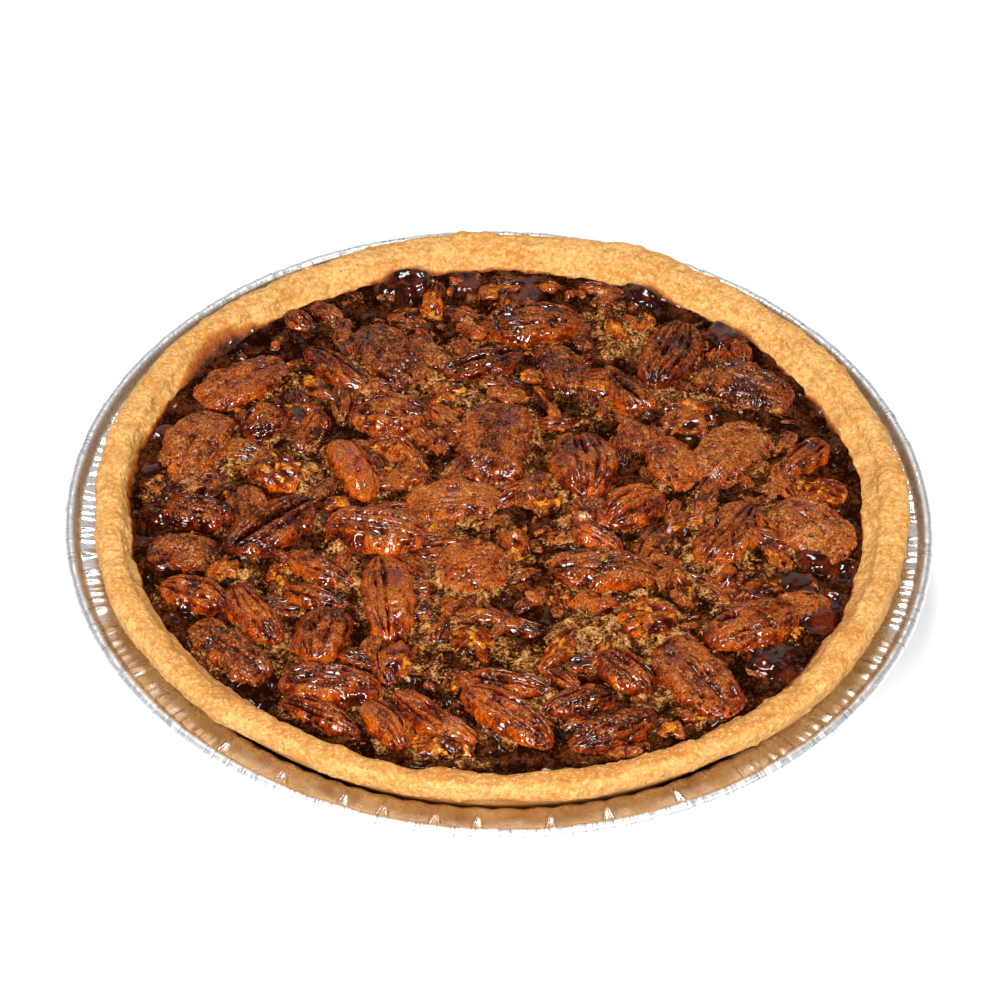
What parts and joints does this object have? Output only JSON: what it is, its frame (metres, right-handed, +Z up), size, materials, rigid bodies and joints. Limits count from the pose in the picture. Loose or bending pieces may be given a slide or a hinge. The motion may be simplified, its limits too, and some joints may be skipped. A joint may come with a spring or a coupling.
{
  "type": "pecan pie in a foil tin",
  "caption": "Round open pecan pie with a smooth golden pastry rim and glazed pecans in dark filling, baked in a pleated foil tin.",
  "frame": {"origin": "centre of the tin's underside, on the surface it stands on", "axes": "+Z up, -Y towards the viewer of the picture, +X to the viewer's right"},
  "size_m": [0.244, 0.244, 0.0409],
  "materials": {
    "foil": "thin bright crinkled foil",
    "pastry": "golden baked pastry, fine grain, toasted spots",
    "filling": "dark set syrup with tan froth",
    "glazed_pecan": "red-brown nut, glossy syrup glaze",
    "frothy_pecan": "tan-brown porous nut, dull glaze"
  },
  "bodies": {
    "root": {"foil_tin": "foil", "pastry_crust": "pastry", "pecan_filling": "filling", "pecan_half_01": "glazed_pecan", "pecan_half_02": "glazed_pecan", "pecan_half_03": "glazed_pecan", "pecan_half_04": "glazed_pecan", "pecan_half_05": "glazed_pecan", "pecan_half_06": "glazed_pecan", "pecan_half_07": "glazed_pecan", "pecan_half_08": "glazed_pecan", "pecan_half_09": "glazed_pecan", "pecan_half_10": "glazed_pecan", "pecan_half_11": "glazed_pecan", "pecan_half_12": "glazed_pecan", "pecan_half_13": "glazed_pecan", "pecan_half_14": "glazed_pecan", "pecan_half_15": "glazed_pecan", "pecan_half_16": "glazed_pecan", "pecan_half_17": "glazed_pecan", "pecan_half_18": "glazed_pecan", "pecan_half_19": "glazed_pecan", "pecan_half_20": "glazed_pecan", "pecan_half_21": "glazed_pecan", "pecan_half_22": "glazed_pecan", "pecan_half_23": "glazed_pecan", "pecan_half_24": "glazed_pecan", "pecan_half_25": "glazed_pecan", "pecan_half_26": "glazed_pecan", "pecan_half_27": "glazed_pecan", "pecan_half_28": "glazed_pecan", "pecan_half_29": "glazed_pecan", "pecan_flat_01": "frothy_pecan", "pecan_flat_02": "frothy_pecan", "pecan_flat_03": "frothy_pecan", "pecan_flat_04": "frothy_pecan", "pecan_flat_05": "frothy_pecan", "pecan_flat_06": "frothy_pecan", "pecan_flat_07": "frothy_pecan", "pecan_flat_08": "frothy_pecan", "pecan_flat_09": "frothy_pecan", "pecan_flat_10": "frothy_pecan", "pecan_flat_11": "frothy_pecan", "pecan_flat_12": "frothy_pecan", "pecan_flat_13": "frothy_pecan", "pecan_flat_14": "frothy_pecan", "pecan_split_01": "glazed_pecan", "pecan_split_02": "glazed_pecan", "pecan_split_03": "glazed_pecan", "pecan_split_04": "glazed_pecan", "pecan_piece_01": "glazed_pecan", "pecan_piece_02": "glazed_pecan", "pecan_piece_03": "glazed_pecan", "pecan_piece_04": "glazed_pecan", "pecan_piece_05": "glazed_pecan", "pecan_piece_06": "glazed_pecan", "pecan_piece_07": "glazed_pecan", "pecan_piece_08": "glazed_pecan", "pecan_piece_09": "glazed_pecan", "pecan_piece_10": "glazed_pecan"}
  },
  "joints": []
}
